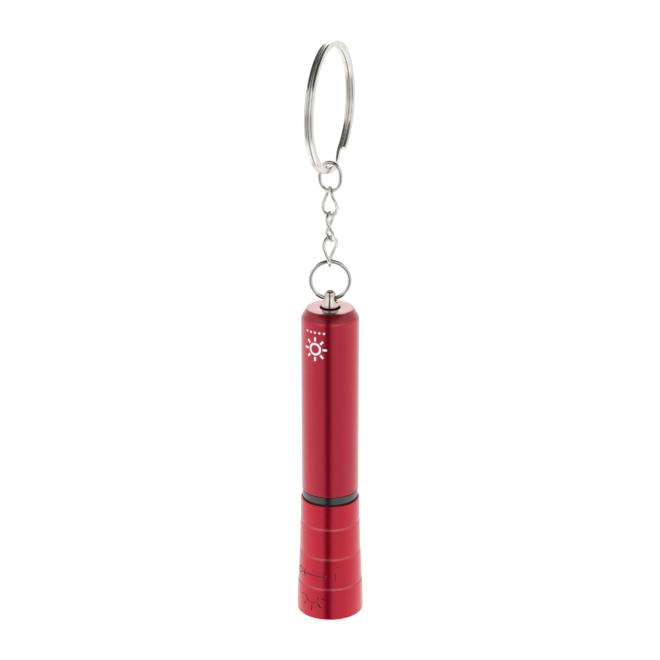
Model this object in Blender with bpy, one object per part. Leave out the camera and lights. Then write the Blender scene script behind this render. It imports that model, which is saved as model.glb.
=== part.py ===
"""Keychain flashlight hanging from its split ring, lens down. Metres, +Z up.

The origin is the point of the split ring's inside that rests on a hook. Everything hangs below it on the Z axis:
split ring, oval link, three twisted links, jump ring, swivel stud, barrel, power module and twisting head.
"""

import math

import bmesh
import bpy
from mathutils import Matrix, Vector

MM = 0.001
GAP = 0.1 * MM  # left between two pieces that touch

# Split ring: two turns of flattened wire that cross over in one short jog
RING_OUTER_RADIUS = 14.0 * MM
RING_WIRE_RADIAL = 1.45 * MM
RING_WIRE_AXIAL = 0.92 * MM
RING_TURN_GAP = 0.08 * MM
RING_TURN_DEG = 71.0  # how far the ring's plane is turned from the XZ plane
RING_JOG_START_DEG = -84.0  # where the jog starts and ends, from the ring's far side
RING_JOG_END_DEG = -55.0
RING_STEPS = 108

# Chain: one oval link and three twisted ones, each standing square to its neighbour
OVAL_LENGTH = 7.1 * MM
OVAL_WIDTH = 5.5 * MM
OVAL_WIRE = 0.85 * MM
OVAL_TURN_DEG = RING_TURN_DEG - 90.0
OVAL_SEAT_GAP = 0.25 * MM  # the wide ring section needs this much room under the link's round end
TWISTED_LENGTH = 7.16 * MM
TWISTED_WIDTH = 4.5 * MM
TWISTED_WIRE = 0.80 * MM
TWIST_DEG = 52.0  # turn of a link's lower end against its upper end
TWISTED_TOP_DEG = (103.0, 64.0, 33.0)  # turn of each link's upper end from the XZ plane
LINK_ROUNDNESS = 0.4  # 0 gives a link straight sides, and 1 makes it an ellipse
TWIST_SHARE = 0.76  # share of a link's length that its twist is spread over
WIRE_GAP = 0.06 * MM  # between two links where one hangs in the other

# Jump ring through the stud
JUMP_OUTER_RADIUS = 4.68 * MM
JUMP_WIRE = 0.90 * MM

# Body levels, measured up from the head's front rim
BODY_LENGTH = 71.6 * MM
BARREL_BOTTOM = 29.54 * MM
HEAD_TOP = 27.4 * MM
HOLE_OVER_TAIL = 2.0 * MM  # height of the stud's cross hole over the tail face

# Barrel
BARREL_RADIUS = 6.3 * MM
BARREL_BORE = 5.3 * MM
TAIL_FLAT_RADIUS = 5.12 * MM
TAIL_CHAMFER = 2.1 * MM
TAIL_WALL = 2.8 * MM
TAIL_HOLE_RADIUS = 2.25 * MM

# Swivel stud
STUD_RADIUS = 1.8 * MM
STUD_HEIGHT = 4.04 * MM
STUD_HOLE_RADIUS = 0.98 * MM
STUD_HOLE_TURN_DEG = -10.0
STUD_FLANGE_RADIUS = 3.4 * MM
WASHER_THICKNESS = 0.32 * MM

# Head: four slightly flared bands parted by three fine grooves
HEAD_BANDS = (  # (height of the band's lower edge, radius there, radius at its upper edge)
    (0.0 * MM, 7.47 * MM, 7.24 * MM),
    (7.45 * MM, 7.17 * MM, 6.86 * MM),
    (14.6 * MM, 6.80 * MM, 6.63 * MM),
    (21.75 * MM, 6.59 * MM, 6.51 * MM),
)
GROOVE_WIDTH = 0.34 * MM
GROOVE_DEPTH = 0.16 * MM
HEAD_RIM_ROUND = 0.35 * MM
LENS_BORE = 6.3 * MM
LENS_LEDGE = 3.0 * MM  # height of the ledge behind the lens
OPTIC_BORE = 5.9 * MM
BOARD_LEDGE = 14.7 * MM
SPIGOT_BORE = 5.15 * MM

# Power module: carrier with its collar, spigot and battery tube
COLLAR_RADIUS = 6.15 * MM
COLLAR_BOTTOM = 27.7 * MM
COLLAR_TOP = 29.29 * MM
SPIGOT_RADIUS = 5.0 * MM
SPIGOT_BOTTOM = 17.5 * MM
CARRIER_RADIUS = 5.05 * MM
CARRIER_BORE = 4.15 * MM
CARRIER_FLOOR_TOP = 30.8 * MM
CARRIER_TOP = 60.0 * MM
PIN_RADIUS = 0.8 * MM
CELL_RADIUS = 3.95 * MM
CELL_HEIGHT = 3.6 * MM
CELL_COUNT = 4
STRIP_WIDTH = 2.0 * MM
STRIP_THICKNESS = 0.25 * MM
O_RING_HEIGHT = 20.5 * MM
CLIP_HEIGHT = 24.2 * MM
SPRING_WIRE = 0.5 * MM
SPRING_RADIUS = 2.9 * MM
SPRING_TURNS = 6

ROUND_STEPS = 48  # facets round the body's turned pieces
SMALL_STEPS = 24  # facets round small turned pieces
WIRE_SIDES = 8


# ---------------------------------------------------------------- levels

RING_CENTRE_Z = -(RING_OUTER_RADIUS - RING_WIRE_RADIAL)
RING_MEAN_RADIUS = RING_OUTER_RADIUS - RING_WIRE_RADIAL / 2
RING_INSIDE_BOTTOM = 2 * RING_CENTRE_Z
OVAL_TOP = RING_INSIDE_BOTTOM + OVAL_SEAT_GAP + OVAL_WIRE


def tops_of_the_chain():
    """The upper end of each twisted link, then of the jump ring. Each hangs in the link above it."""
    found = []
    inside = OVAL_TOP - OVAL_LENGTH + OVAL_WIRE
    for _ in TWISTED_TOP_DEG:
        found.append(inside + WIRE_GAP + TWISTED_WIRE)
        inside = found[-1] - TWISTED_LENGTH + TWISTED_WIRE
    found.append(inside + WIRE_GAP + JUMP_WIRE)
    return found


CHAIN_TOPS = tops_of_the_chain()
JUMP_CENTRE_Z = CHAIN_TOPS[-1] - JUMP_OUTER_RADIUS
JUMP_MEAN_RADIUS = JUMP_OUTER_RADIUS - JUMP_WIRE / 2
STUD_HOLE_Z = JUMP_CENTRE_Z - JUMP_MEAN_RADIUS + WIRE_GAP
TAIL_Z = STUD_HOLE_Z - HOLE_OVER_TAIL
FRONT_Z = TAIL_Z - BODY_LENGTH


def level(height):
    """A height over the head's front rim as a world Z."""
    return FRONT_Z + height


# ---------------------------------------------------------------- materials

COLOURS = {  # name: (base colour, metallic, roughness)
    "red_shell": ((0.50, 0.012, 0.035), 0.6, 0.25),
    "black_plastic": ((0.018, 0.018, 0.02), 0.0, 0.3),
    "bright_nickel": ((0.78, 0.77, 0.75), 1.0, 0.16),
    "warm_nickel": ((0.80, 0.75, 0.66), 1.0, 0.3),
    "spring_steel": ((0.55, 0.55, 0.56), 1.0, 0.3),
    "brass": ((0.78, 0.60, 0.28), 1.0, 0.3),
    "cell_steel": ((0.70, 0.70, 0.70), 1.0, 0.25),
    "chromed_plastic": ((0.90, 0.90, 0.91), 1.0, 0.05),
    "clear_plastic": ((0.92, 0.94, 0.95), 0.0, 0.03),
    "white_plastic": ((0.85, 0.85, 0.83), 0.0, 0.4),
    "board_green": ((0.03, 0.18, 0.07), 0.0, 0.45),
    "black_rubber": ((0.015, 0.015, 0.015), 0.0, 0.7),
}


def material(name):
    found = bpy.data.materials.get(name)
    if found:
        return found
    made = bpy.data.materials.new(name)
    made.use_nodes = True
    shader = made.node_tree.nodes["Principled BSDF"]
    colour, metallic, roughness = COLOURS[name]
    shader.inputs["Base Color"].default_value = (*colour, 1.0)
    shader.inputs["Metallic"].default_value = metallic
    shader.inputs["Roughness"].default_value = roughness
    made.diffuse_color = (*colour, 1.0)
    return made


# ---------------------------------------------------------------- modelling helpers


def pivot(name, location, parent=None):
    """An empty on a joint, which carries the pieces that move with it."""
    made = bpy.data.objects.new(name, None)
    bpy.context.scene.collection.objects.link(made)
    made.empty_display_size = 2 * MM
    made.parent = parent
    made.location = Vector(location) - (world_of(parent) if parent else Vector((0, 0, 0)))
    return made


def world_of(obj):
    """World position of an object whose ancestors are only moved, never turned."""
    place = Vector((0, 0, 0))
    while obj is not None:
        place += obj.location
        obj = obj.parent
    return place


def piece(name, mesh_or_bmesh, material_name, parent, at=(0, 0, 0)):
    """A named sub-part. Its mesh is in world places, and its origin goes to at."""
    if isinstance(mesh_or_bmesh, bmesh.types.BMesh):
        mesh = bpy.data.meshes.new(name)
        mesh_or_bmesh.to_mesh(mesh)
        mesh_or_bmesh.free()
    else:
        mesh = mesh_or_bmesh
    origin = Vector(at)
    mesh.transform(Matrix.Translation(-origin))
    mesh.materials.append(material(material_name))
    mesh.shade_smooth()
    mesh.set_sharp_from_angle(angle=math.radians(35))
    made = bpy.data.objects.new(name, mesh)
    bpy.context.scene.collection.objects.link(made)
    made.parent = parent
    made.location = origin - world_of(parent)
    return made


def turned(profile, steps=ROUND_STEPS):
    """A closed outline of (radius, z) points, turned round the Z axis. Points on the axis have radius 0."""
    made = bmesh.new()
    rings = []
    for radius, z in profile:
        if radius < 1e-9:
            rings.append([made.verts.new((0, 0, z))] * steps)
            continue
        angles = [2 * math.pi * k / steps for k in range(steps)]
        rings.append([made.verts.new((radius * math.cos(a), radius * math.sin(a), z)) for a in angles])
    for i, ring in enumerate(rings):
        other = rings[(i + 1) % len(rings)]
        if ring[0] is ring[1] and other[0] is other[1]:
            continue
        for k in range(steps):
            n = (k + 1) % steps
            corners = [ring[k], other[k], other[n], ring[n]]
            corners = [v for j, v in enumerate(corners) if v is not corners[j - 1]]
            made.faces.new(corners)
    bmesh.ops.recalc_face_normals(made, faces=made.faces)
    return made


def swept(places, frames, outline, closed):
    """An outline of (across, along) points carried along places. Each frame gives its two unit vectors."""
    made = bmesh.new()
    rings = []
    for place, (across, along) in zip(places, frames):
        rings.append([made.verts.new(place + across * x + along * y) for x, y in outline])
    count = len(outline)
    last = len(rings) if closed else len(rings) - 1
    for i in range(last):
        here, there = rings[i], rings[(i + 1) % len(rings)]
        for k in range(count):
            n = (k + 1) % count
            made.faces.new((here[k], here[n], there[n], there[k]))
    if not closed:
        made.faces.new(list(reversed(rings[0])))
        made.faces.new(rings[-1])
    bmesh.ops.recalc_face_normals(made, faces=made.faces)
    return made


def round_outline(radius, sides=WIRE_SIDES):
    """A circle's outline, as wide as the wire."""
    angles = [2 * math.pi * (k + 0.5) / sides for k in range(sides)]
    return [(radius * math.cos(a), radius * math.sin(a)) for a in angles]


def flattened_outline(wide, tall, corner):
    """A rectangle with cut corners."""
    x, y = wide / 2, tall / 2
    return [
        (x, -y + corner), (x, y - corner), (x - corner, y), (-x + corner, y),
        (-x, y - corner), (-x, -y + corner), (-x + corner, -y), (x - corner, -y),
    ]


def loop_frames(places, centre_line):
    """Frames for a wire loop: square to the wire, with the first vector pointing away from the loop's middle."""
    frames = []
    count = len(places)
    for i, place in enumerate(places):
        tangent = (places[(i + 1) % count] - places[i - 1]).normalized()
        outward = place - centre_line(place)
        outward = (outward - tangent * outward.dot(tangent)).normalized()
        frames.append((outward, tangent.cross(outward)))
    return frames


def cut(obj, cutter_bmesh, name):
    """Takes a helper solid out of a piece."""
    mesh = bpy.data.meshes.new(name)
    cutter_bmesh.to_mesh(mesh)
    cutter_bmesh.free()
    helper = bpy.data.objects.new(name, mesh)
    bpy.context.scene.collection.objects.link(helper)
    helper.hide_render = True
    helper.display_type = "WIRE"
    modifier = obj.modifiers.new(name, "BOOLEAN")
    modifier.operation = "DIFFERENCE"
    modifier.solver = "EXACT"
    modifier.object = helper


def block(low, high):
    """A box between two corners."""
    made = bmesh.new()
    size = Vector(high) - Vector(low)
    middle = (Vector(high) + Vector(low)) / 2
    bmesh.ops.create_cube(made, size=1.0, matrix=Matrix.Translation(middle) @ Matrix.Diagonal((*size, 1.0)))
    return made


def direction(degrees):
    """The level unit vector at this turn from +X."""
    return Vector((math.cos(math.radians(degrees)), math.sin(math.radians(degrees)), 0))


# ---------------------------------------------------------------- ring and chain


def split_ring(parent):
    """Two turns of wire. It starts where the jog ends, and jogs to the other layer after one turn."""
    in_plane = direction(RING_TURN_DEG)
    normal = direction(RING_TURN_DEG - 90)
    layer = (RING_WIRE_AXIAL + RING_TURN_GAP) / 2
    start, end = RING_JOG_END_DEG, RING_JOG_START_DEG + 720
    places, frames = [], []
    for k in range(RING_STEPS + 1):
        angle = start + (end - start) * k / RING_STEPS
        share = (angle - (RING_JOG_START_DEG + 360)) / (RING_JOG_END_DEG - RING_JOG_START_DEG)
        share = min(1.0, max(0.0, share))
        side = layer * (1 - 2 * share * share * (3 - 2 * share))
        outward = in_plane * math.cos(math.radians(angle)) + Vector((0, 0, math.sin(math.radians(angle))))
        places.append(Vector((0, 0, RING_CENTRE_Z)) + outward * RING_MEAN_RADIUS + normal * side)
        frames.append((outward, normal))
    outline = flattened_outline(RING_WIRE_RADIAL, RING_WIRE_AXIAL, 0.28 * MM)
    return piece("split_ring", swept(places, frames, outline, closed=False), "bright_nickel", parent)


def oval_places(length, width, wire, centre_z, turn_top, turn_bottom, steps=40):
    """The wire's centre line round a link with round ends. Its lower end is turned against its upper end."""
    half_width = (width - wire) / 2
    half_length = (length - wire) / 2
    straight = half_length - half_width
    places = []
    for k in range(steps):
        angle = 2 * math.pi * (k + 0.5) / steps
        x = half_width * math.cos(angle)
        rise = math.sin(angle)
        z = half_width * rise + math.copysign(straight * abs(rise) ** LINK_ROUNDNESS, rise)
        share = min(1.0, max(0.0, 0.5 + z / (2 * half_length * TWIST_SHARE)))
        share = share * share * (3 - 2 * share)
        turn = turn_bottom + (turn_top - turn_bottom) * share
        places.append(direction(turn) * x + Vector((0, 0, centre_z + z)))
    return places


def link(name, length, width, wire, top_z, turn_top, turn_bottom, parent, pivot_z):
    centre_z = top_z - length / 2
    half_straight = (length - width) / 2
    places = oval_places(length, width, wire, centre_z, turn_top, turn_bottom)

    def middle(place):
        """The nearest point of the link's own middle line."""
        return Vector((0, 0, min(max(place.z, centre_z - half_straight), centre_z + half_straight)))

    frames = loop_frames(places, middle)
    made = swept(places, frames, round_outline(wire / 2), closed=True)
    return piece(name, made, "bright_nickel", parent, at=(0, 0, pivot_z))


def jump_ring(parent):
    steps = 44
    centre = Vector((0, 0, JUMP_CENTRE_Z))
    places, frames = [], []
    for k in range(steps):
        angle = 2 * math.pi * (k + 0.5) / steps
        outward = Vector((math.cos(angle), 0, math.sin(angle)))
        places.append(centre + outward * JUMP_MEAN_RADIUS)
        frames.append((outward, Vector((0, 1, 0))))
    made = swept(places, frames, round_outline(JUMP_WIRE / 2), closed=True)
    return piece("jump_ring", made, "bright_nickel", parent, at=(0, 0, CHAIN_TOPS[-1] - JUMP_WIRE / 2))


# ---------------------------------------------------------------- tail


def swivel_stud(parent):
    """A tapered nose with a cross hole, a shank through the tail wall, and a flange inside."""
    tip = TAIL_Z + STUD_HEIGHT
    wall_inside = TAIL_Z - TAIL_WALL
    flange_top = wall_inside - WASHER_THICKNESS - GAP
    profile = [
        (0, flange_top - 1.1 * MM),
        (STUD_FLANGE_RADIUS, flange_top - 1.1 * MM),
        (STUD_FLANGE_RADIUS, flange_top),
        (STUD_RADIUS, flange_top),
        (STUD_RADIUS, TAIL_Z + 0.35 * MM),
        (STUD_RADIUS * 0.94, TAIL_Z + 1.2 * MM),
        (STUD_RADIUS * 0.83, TAIL_Z + 2.1 * MM),
        (STUD_RADIUS * 0.63, tip - 0.85 * MM),
        (STUD_RADIUS * 0.47, tip - 0.25 * MM),
        (STUD_RADIUS * 0.32, tip),
        (0, tip),
    ]
    made = piece("swivel_stud", turned(profile, SMALL_STEPS), "warm_nickel", parent, at=(0, 0, STUD_HOLE_Z))
    drill = turned([(0, -4 * MM), (STUD_HOLE_RADIUS, -4 * MM), (STUD_HOLE_RADIUS, 4 * MM), (0, 4 * MM)], 16)
    along = Matrix.Rotation(math.radians(STUD_HOLE_TURN_DEG), 4, "Z") @ Matrix.Rotation(math.radians(90), 4, "Y")
    drill.transform(Matrix.Translation((0, 0, STUD_HOLE_Z)) @ along)
    cut(made, drill, "stud_cross_hole")
    return made


def stud_washer(parent):
    top = TAIL_Z - TAIL_WALL - GAP / 2
    inner, outer = STUD_RADIUS + 0.15 * MM, STUD_FLANGE_RADIUS + 0.2 * MM
    bottom = top - WASHER_THICKNESS
    profile = [(inner, bottom), (outer, bottom), (outer, top), (inner, top)]
    return piece("stud_washer", turned(profile, SMALL_STEPS), "white_plastic", parent)


def barrel(parent):
    bottom = level(BARREL_BOTTOM)
    edge = 0.12 * MM
    inside = TAIL_Z - TAIL_WALL
    profile = [
        (BARREL_RADIUS - edge, bottom),
        (BARREL_RADIUS, bottom + edge),
        (BARREL_RADIUS, TAIL_Z - TAIL_CHAMFER),
        (TAIL_FLAT_RADIUS, TAIL_Z),
        (TAIL_HOLE_RADIUS, TAIL_Z),
        (TAIL_HOLE_RADIUS, inside),
        (BARREL_BORE, inside),
        (BARREL_BORE, bottom + 0.3 * MM),
        (BARREL_BORE + 0.2 * MM, bottom),
    ]
    return piece("barrel", turned(profile), "red_shell", parent, at=(0, 0, TAIL_Z))


def stud_retainer(parent):
    """A plug pressed in behind the stud's flange, with a clearance pocket for it."""
    radius = BARREL_BORE - GAP
    bottom, top = level(64.4 * MM), level(66.75 * MM)
    profile = [
        (1.5 * MM, bottom), (radius - 0.3 * MM, bottom), (radius, bottom + 0.3 * MM), (radius, top), (1.5 * MM, top),
    ]
    return piece("stud_retainer", turned(profile, SMALL_STEPS), "black_plastic", parent)


# ---------------------------------------------------------------- power module


def strip_route(grown=0.0):
    """The return strip's outline in (radius, height): down the battery tube's side, then inwards to the spigot."""
    half = STRIP_THICKNESS / 2 + grown
    outer, inner = 4.8 * MM, 3.2 * MM
    top, bottom = 59.6 * MM + grown, SPIGOT_BOTTOM + GAP - grown
    bend_high, bend_low = 30.25 * MM, 29.6 * MM
    return [
        (outer + half, top), (outer - half, top), (outer - half, bend_high + half),
        (inner - half, bend_low + half), (inner - half, bottom), (inner + half, bottom),
        (inner + half, bend_low - half), (outer + half, bend_high - half),
    ]


def extruded_across(outline, width):
    """A flat outline of (radius, height) on the XZ plane, given a width along Y."""
    made = bmesh.new()
    near = [made.verts.new((-r, -width / 2, level(h))) for r, h in outline]
    far = [made.verts.new((-r, width / 2, level(h))) for r, h in outline]
    made.faces.new(near)
    made.faces.new(list(reversed(far)))
    for i in range(len(outline)):
        n = (i + 1) % len(outline)
        made.faces.new((near[n], near[i], far[i], far[n]))
    bmesh.ops.recalc_face_normals(made, faces=made.faces)
    return made


def battery_carrier(parent):
    """Spigot for the head, the collar that shows between head and barrel, and the tube for the cells."""
    bore = PIN_RADIUS + GAP
    ridge = 0.13 * MM
    profile = [
        (bore, level(SPIGOT_BOTTOM)),
        (SPIGOT_RADIUS - 0.2 * MM, level(SPIGOT_BOTTOM)),
        (SPIGOT_RADIUS, level(SPIGOT_BOTTOM + 0.2 * MM)),
    ]
    for middle, width, radius in ((O_RING_HEIGHT, 1.0 * MM, 4.3 * MM), (CLIP_HEIGHT, 0.7 * MM, 4.5 * MM)):
        low, high = level(middle - width / 2), level(middle + width / 2)
        profile += [(SPIGOT_RADIUS, low), (radius, low), (radius, high), (SPIGOT_RADIUS, high)]
    profile += [
        (SPIGOT_RADIUS, level(COLLAR_BOTTOM)),
        (COLLAR_RADIUS, level(COLLAR_BOTTOM)),
        (COLLAR_RADIUS, level(COLLAR_TOP)),
        (CARRIER_RADIUS, level(COLLAR_TOP)),
    ]
    for turn in range(4):  # the short thread that the barrel screws on to
        low = COLLAR_TOP + (0.9 + turn) * MM
        profile += [
            (CARRIER_RADIUS, level(low)),
            (CARRIER_RADIUS + ridge, level(low + 0.25 * MM)),
            (CARRIER_RADIUS + ridge, level(low + 0.45 * MM)),
            (CARRIER_RADIUS, level(low + 0.7 * MM)),
        ]
    profile += [
        (CARRIER_RADIUS, level(CARRIER_TOP)),
        (CARRIER_BORE, level(CARRIER_TOP)),
        (CARRIER_BORE, level(CARRIER_FLOOR_TOP)),
        (bore, level(CARRIER_FLOOR_TOP)),
    ]
    made = piece("battery_carrier", turned(profile, 40), "black_plastic", parent, at=(0, 0, level(COLLAR_TOP)))
    slot = extruded_across(strip_route(grown=0.12 * MM), STRIP_WIDTH + 0.3 * MM)
    cut(made, slot, "return_strip_slot")
    return made


def return_strip(parent):
    return piece("return_strip", extruded_across(strip_route(), STRIP_WIDTH), "brass", parent)


def first_cell_bottom():
    return CARRIER_FLOOR_TOP + GAP + 0.3 * MM + GAP


def button_cells(parent):
    cap_radius, cap_height, edge = 3.1 * MM, 0.35 * MM, 0.3 * MM
    for number in range(CELL_COUNT):
        low = first_cell_bottom() + number * (CELL_HEIGHT + GAP)
        profile = [
            (0, level(low)),
            (cap_radius, level(low)),
            (cap_radius, level(low + cap_height)),
            (CELL_RADIUS - edge, level(low + cap_height)),
            (CELL_RADIUS, level(low + cap_height + edge)),
            (CELL_RADIUS, level(low + CELL_HEIGHT - edge)),
            (CELL_RADIUS - edge, level(low + CELL_HEIGHT)),
            (0, level(low + CELL_HEIGHT)),
        ]
        piece(f"button_cell_{number + 1}", turned(profile, SMALL_STEPS), "cell_steel", parent)


def battery_spring(parent):
    """A coil from the last cell to the cap's contact. Its first and last turns lie nearly flat."""
    low = first_cell_bottom() + CELL_COUNT * (CELL_HEIGHT + GAP) + SPRING_WIRE / 2
    high = 58.25 * MM - SPRING_WIRE / 2
    flat_rise = SPRING_WIRE + 0.15 * MM
    rise = (high - low - 2 * flat_rise) / (SPRING_TURNS - 2)
    per_turn = 14
    places, frames = [], []
    for k in range(per_turn * SPRING_TURNS + 1):
        turn = k / per_turn
        height = low + flat_rise * min(turn, 1.0)
        height += rise * min(max(turn - 1.0, 0.0), SPRING_TURNS - 2)
        height += flat_rise * max(turn - (SPRING_TURNS - 1), 0.0)
        outward = direction(360 * turn)
        places.append(outward * SPRING_RADIUS + Vector((0, 0, level(height))))
        frames.append((outward, Vector((0, 0, 1))))
    made = swept(places, frames, round_outline(SPRING_WIRE / 2, 6), closed=False)
    return piece("battery_spring", made, "spring_steel", parent)


def disc(name, radius, low, high, material_name, parent, hole=0.0, steps=SMALL_STEPS):
    """A flat disc, or a ring where hole is given, between two heights over the front rim."""
    if hole:
        profile = [(hole, level(low)), (radius, level(low)), (radius, level(high)), (hole, level(high))]
    else:
        profile = [(0, level(low)), (radius, level(low)), (radius, level(high)), (0, level(high))]
    return piece(name, turned(profile, steps), material_name, parent)


def module_contacts(parent):
    disc("positive_contact", CELL_RADIUS - GAP, CARRIER_FLOOR_TOP + GAP, CARRIER_FLOOR_TOP + GAP + 0.3 * MM,
         "brass", parent)
    disc("contact_pin", PIN_RADIUS, SPIGOT_BOTTOM + GAP, CARRIER_FLOOR_TOP, "brass", parent, steps=12)
    disc("cap_contact", CELL_RADIUS - GAP, 58.35 * MM, 58.65 * MM, "brass", parent)
    disc("switch_board", 4.8 * MM, 16.6 * MM, SPIGOT_BOTTOM - GAP, "board_green", parent)


def carrier_cap(parent):
    plug, flange = CARRIER_BORE - GAP, CARRIER_RADIUS
    profile = [
        (0, level(58.75 * MM)),
        (plug - 0.2 * MM, level(58.75 * MM)),
        (plug, level(58.95 * MM)),
        (plug, level(CARRIER_TOP + GAP)),
        (flange, level(CARRIER_TOP + GAP)),
        (flange, level(60.9 * MM)),
        (flange - 0.4 * MM, level(61.3 * MM)),
        (0, level(61.3 * MM)),
    ]
    return piece("carrier_cap", turned(profile, 32), "black_plastic", parent)


def head_o_ring(parent):
    middle, section = 4.72 * MM, 0.38 * MM
    outline = round_outline(section)
    outwards = [direction(360 * k / ROUND_STEPS) for k in range(ROUND_STEPS)]
    places = [outward * middle + Vector((0, 0, level(O_RING_HEIGHT))) for outward in outwards]
    frames = [(outward, Vector((0, 0, 1))) for outward in outwards]
    return piece("head_o_ring", swept(places, frames, outline, closed=True), "black_rubber", parent)


def head_clip(parent):
    """An open spring-wire ring that sits half in the spigot's groove and half in the head's."""
    steps, opening = 36, 50.0
    places, frames = [], []
    for k in range(steps + 1):
        angle = opening / 2 + (360 - opening) * k / steps
        places.append(direction(angle) * 4.98 * MM + Vector((0, 0, level(CLIP_HEIGHT))))
        frames.append((direction(angle), Vector((0, 0, 1))))
    outline = flattened_outline(0.7 * MM, 0.46 * MM, 0.1 * MM)
    return piece("head_clip", swept(places, frames, outline, closed=False), "spring_steel", parent)


# ---------------------------------------------------------------- head


def head_shell(parent):
    """Flared bands outside; a lens seat, an optic bore and a spigot bore inside."""
    profile = []
    for step in range(4):
        angle = math.radians(90 * step / 3)
        profile.append((
            HEAD_BANDS[0][1] - HEAD_RIM_ROUND * (1 - math.sin(angle)),
            level(HEAD_RIM_ROUND * (1 - math.cos(angle))),
        ))
    uppers = [band[0] for band in HEAD_BANDS[1:]] + [HEAD_TOP]
    half = GROOVE_WIDTH / 2
    for (low, low_radius, high_radius), high in zip(HEAD_BANDS, uppers):
        if low > 0:
            profile.append((low_radius, level(low + half)))
        if high < HEAD_TOP:
            profile.append((high_radius, level(high - half)))
            profile.append((high_radius - GROOVE_DEPTH, level(high)))
        else:
            profile.append((high_radius, level(high - 0.2 * MM)))
            profile.append((high_radius - 0.2 * MM, level(high)))
    clip_low, clip_high = level(CLIP_HEIGHT - 0.35 * MM), level(CLIP_HEIGHT + 0.35 * MM)
    clip_groove = SPIGOT_BORE + 0.32 * MM
    profile += [
        (SPIGOT_BORE, level(HEAD_TOP)),
        (SPIGOT_BORE, clip_high),
        (clip_groove, clip_high),
        (clip_groove, clip_low),
        (SPIGOT_BORE, clip_low),
        (SPIGOT_BORE, level(BOARD_LEDGE)),
        (OPTIC_BORE, level(BOARD_LEDGE)),
        (OPTIC_BORE, level(LENS_LEDGE)),
        (LENS_BORE, level(LENS_LEDGE)),
        (LENS_BORE, level(0.3 * MM)),
        (LENS_BORE + 0.3 * MM, level(0)),
    ]
    return piece("head_shell", turned(profile), "red_shell", parent, at=(0, 0, level(HEAD_TOP)))


def lens_stack(parent):
    outer = LENS_BORE - GAP
    disc("lens_gasket", outer, 2.45 * MM, LENS_LEDGE - GAP, "black_rubber", parent, hole=5.45 * MM, steps=40)
    edge = 0.2 * MM
    low, high = 1.25 * MM, 2.35 * MM
    lens = [
        (0, level(low)), (outer - edge, level(low)), (outer, level(low + edge)), (outer, level(high)), (0, level(high)),
    ]
    piece("lens", turned(lens), "clear_plastic", parent)
    disc("lens_ring", outer, 0.45 * MM, 1.15 * MM, "black_plastic", parent, hole=5.5 * MM)


def reflector(parent):
    """A bowl whose inside follows a parabola from the mouth to the hole for the LED."""
    mouth, throat = 5.3 * MM, 2.7 * MM
    low, high, steps = 3.05 * MM, 9.6 * MM, 8
    outside = OPTIC_BORE - GAP
    profile = [(outside, level(high)), (throat, level(high))]
    for k in range(1, steps + 1):
        radius = throat + (mouth - throat) * k / steps
        share = (radius**2 - throat**2) / (mouth**2 - throat**2)
        profile.append((radius, level(high - 0.4 * MM - (high - 0.4 * MM - low) * share)))
    profile.append((outside, level(low)))
    return piece("reflector", turned(list(reversed(profile)), 40), "chromed_plastic", parent)


def led(parent):
    """A 5 mm LED: domed clear body on a wider flange."""
    radius, flange = 2.5 * MM, 2.85 * MM
    dome_base = 6.7 * MM
    profile = []
    for k in range(6):
        angle = math.radians(90 * k / 5)
        profile.append((radius * math.sin(angle), level(dome_base - radius * math.cos(angle))))
    profile += [
        (radius, level(10.9 * MM)), (flange, level(10.9 * MM)), (flange, level(12.0 * MM)), (0, level(12.0 * MM)),
    ]
    piece("led", turned(profile, SMALL_STEPS), "clear_plastic", parent)
    half = 0.25 * MM
    for side, name in ((-1, "led_lead_anode"), (1, "led_lead_cathode")):
        x = side * 1.27 * MM
        piece(name, block((x - half, -half, level(12.1 * MM)), (x + half, half, level(13.5 * MM))),
              "cell_steel", parent)


def head_internals(parent):
    disc("led_holder", OPTIC_BORE - GAP, 9.75 * MM, 12.1 * MM, "white_plastic", parent, hole=2.95 * MM, steps=32)
    disc("led_board", OPTIC_BORE - GAP, 13.6 * MM, BOARD_LEDGE - GAP, "board_green", parent, steps=32)
    piece("resistor", block((-1.0 * MM, 0.9 * MM, level(14.7 * MM)), (1.0 * MM, 2.1 * MM, level(15.3 * MM))),
          "black_plastic", parent)
    disc("wiper_contact", 4.3 * MM, 14.75 * MM, 15.0 * MM, "brass", parent, hole=3.0 * MM)
    for name, turn in (("wiper_leaf_a", 0.0), ("wiper_leaf_b", 180.0)):
        leaf(name, turn, parent)


def leaf(name, turn, parent):
    """A sprung leaf that slopes from the wiper's ring to the switch board and turns down at its tip."""
    thick, half_width = 0.2 * MM, 0.55 * MM
    line = [(-1.6 * MM, 15.2 * MM), (-0.9 * MM, 15.2 * MM), (0.9 * MM, 16.3 * MM), (1.5 * MM, 15.9 * MM)]
    outline = [(x, z - thick / 2) for x, z in line] + [(x, z + thick / 2) for x, z in reversed(line)]
    made = bmesh.new()
    near, far = [
        [made.verts.new((3.6 * MM + side * half_width, y, level(z))) for y, z in outline] for side in (-1, 1)
    ]
    made.faces.new(near)
    made.faces.new(list(reversed(far)))
    for i in range(len(outline)):
        n = (i + 1) % len(outline)
        made.faces.new((near[n], near[i], far[i], far[n]))
    bmesh.ops.recalc_face_normals(made, faces=made.faces)
    made.transform(Matrix.Rotation(math.radians(turn), 4, "Z"))
    piece(name, made, "brass", parent)


# ---------------------------------------------------------------- the whole object


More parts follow.
